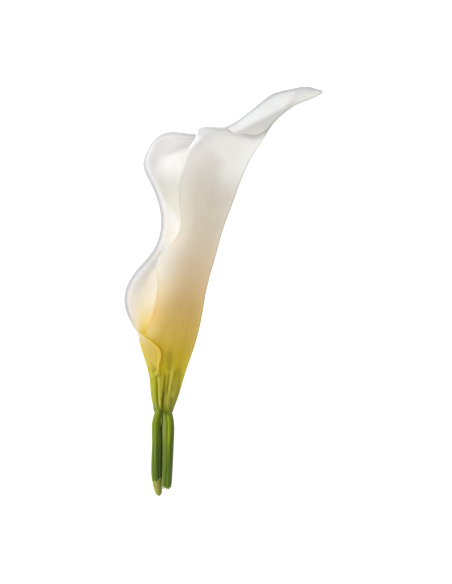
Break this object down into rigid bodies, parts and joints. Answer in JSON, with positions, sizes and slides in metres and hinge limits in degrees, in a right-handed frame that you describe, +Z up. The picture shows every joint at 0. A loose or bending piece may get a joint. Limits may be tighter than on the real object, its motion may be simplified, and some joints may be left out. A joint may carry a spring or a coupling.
{
  "type": "calla lily flower",
  "caption": "Cut calla lily lying on its side: a white funnel spathe with a flared, pointed rim, a yellow spadix inside and a short green stalk split in two strands.",
  "frame": {"origin": "middle of the underside of the whole flower's bounding box, on the surface it lies on", "axes": "+Y along the flower from the cut end to the mouth and tip, +Z up from the surface, +X to the back of the funnel, on the side of the tip"},
  "size_m": [0.082, 0.171, 0.0487],
  "materials": {
    "spathe": "satin, slightly translucent petal, white at the rim, cream to olive green at the base",
    "spadix": "matt, grainy with pollen",
    "stalk": "satin, smooth fleshy green"
  },
  "bodies": {
    "root": {"spathe": "spathe", "spadix": "spadix", "stalk_left": "stalk", "stalk_right": "stalk"}
  },
  "joints": []
}
